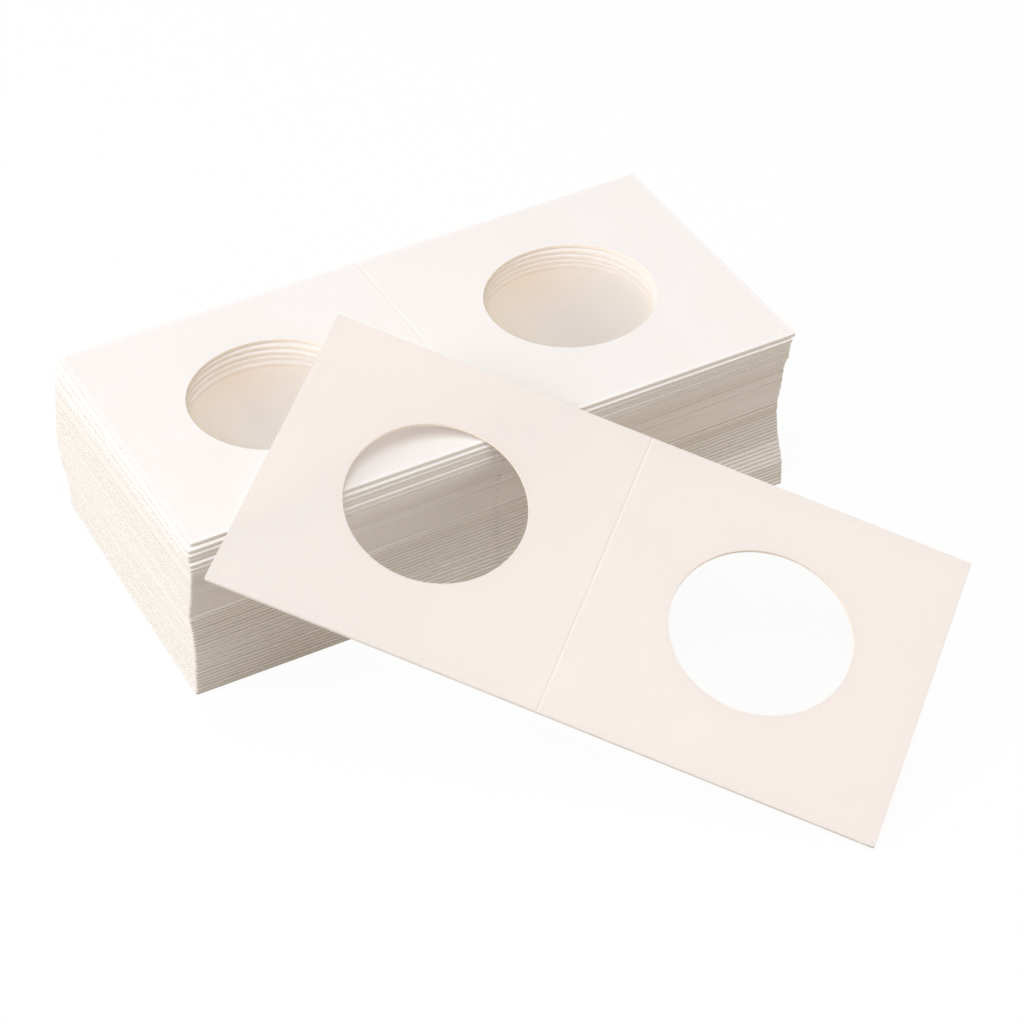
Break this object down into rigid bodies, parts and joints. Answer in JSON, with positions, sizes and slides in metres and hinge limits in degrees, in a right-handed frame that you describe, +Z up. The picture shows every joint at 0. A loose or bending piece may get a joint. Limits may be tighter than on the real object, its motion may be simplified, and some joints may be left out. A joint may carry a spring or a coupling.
{
  "type": "coin flip pack",
  "caption": "Squared pile of unfolded paperboard coin flips with round film windows, and a flip leaning on its front edge that folds shut at its crease.",
  "frame": {"origin": "middle of the pile's bottom face, on the surface that the pack stands on", "axes": "+X along the pile's long side, +Y from the front edge, where the loose flip leans, to the back, +Z up"},
  "size_m": [0.1082, 0.1293, 0.0391],
  "materials": {
    "board": "smooth white paperboard, matte",
    "film": "thin clear polyester film, glossy"
  },
  "bodies": {
    "pile": {"pile_board_01": "board", "pile_board_02": "board", "pile_board_03": "board", "pile_board_04": "board", "pile_board_05": "board", "pile_board_06": "board", "pile_board_07": "board", "pile_board_08": "board", "pile_board_09": "board", "pile_board_10": "board", "pile_board_11": "board", "pile_board_12": "board", "pile_board_13": "board", "pile_board_14": "board", "pile_board_15": "board", "pile_board_16": "board", "pile_board_17": "board", "pile_board_18": "board", "pile_board_19": "board", "pile_board_20": "board", "pile_board_21": "board", "pile_board_22": "board", "pile_board_23": "board", "pile_board_24": "board", "pile_board_25": "board", "pile_board_26": "board", "pile_board_27": "board", "pile_board_28": "board", "pile_board_29": "board", "pile_board_30": "board", "pile_board_31": "board", "pile_board_32": "board", "pile_board_33": "board", "pile_board_34": "board", "pile_board_35": "board", "pile_board_36": "board", "pile_board_37": "board", "pile_board_38": "board", "pile_board_39": "board", "pile_board_40": "board", "pile_board_41": "board", "pile_board_42": "board", "pile_board_43": "board", "pile_board_44": "board", "pile_board_45": "board", "pile_board_46": "board", "pile_board_47": "board", "pile_board_48": "board", "pile_films": "film"},
    "top_flip": {"top_board": "board", "top_film": "film"},
    "leaning_left": {"left_panel": "board", "left_film": "film", "crease_strip": "board"},
    "leaning_right": {"right_panel": "board", "right_film": "film"}
  },
  "joints": [
    {"name": "top_flip_slide", "type": "slide", "parent": "pile", "child": "top_flip", "axis": [0, 1, 0], "range_m": [0, 0.052]},
    {"name": "leaning_flip_lift", "type": "slide", "parent": "pile", "child": "leaning_left", "axis": [0, 0, 1], "range_m": [0, 0.06]},
    {"name": "crease_fold", "type": "hinge", "parent": "leaning_left", "child": "leaning_right", "pos_m": [0.00371, -0.04977, 0.01997], "axis": [-0.7316, -0.6383, -0.2394], "range_deg": [0, 178]}
  ]
}
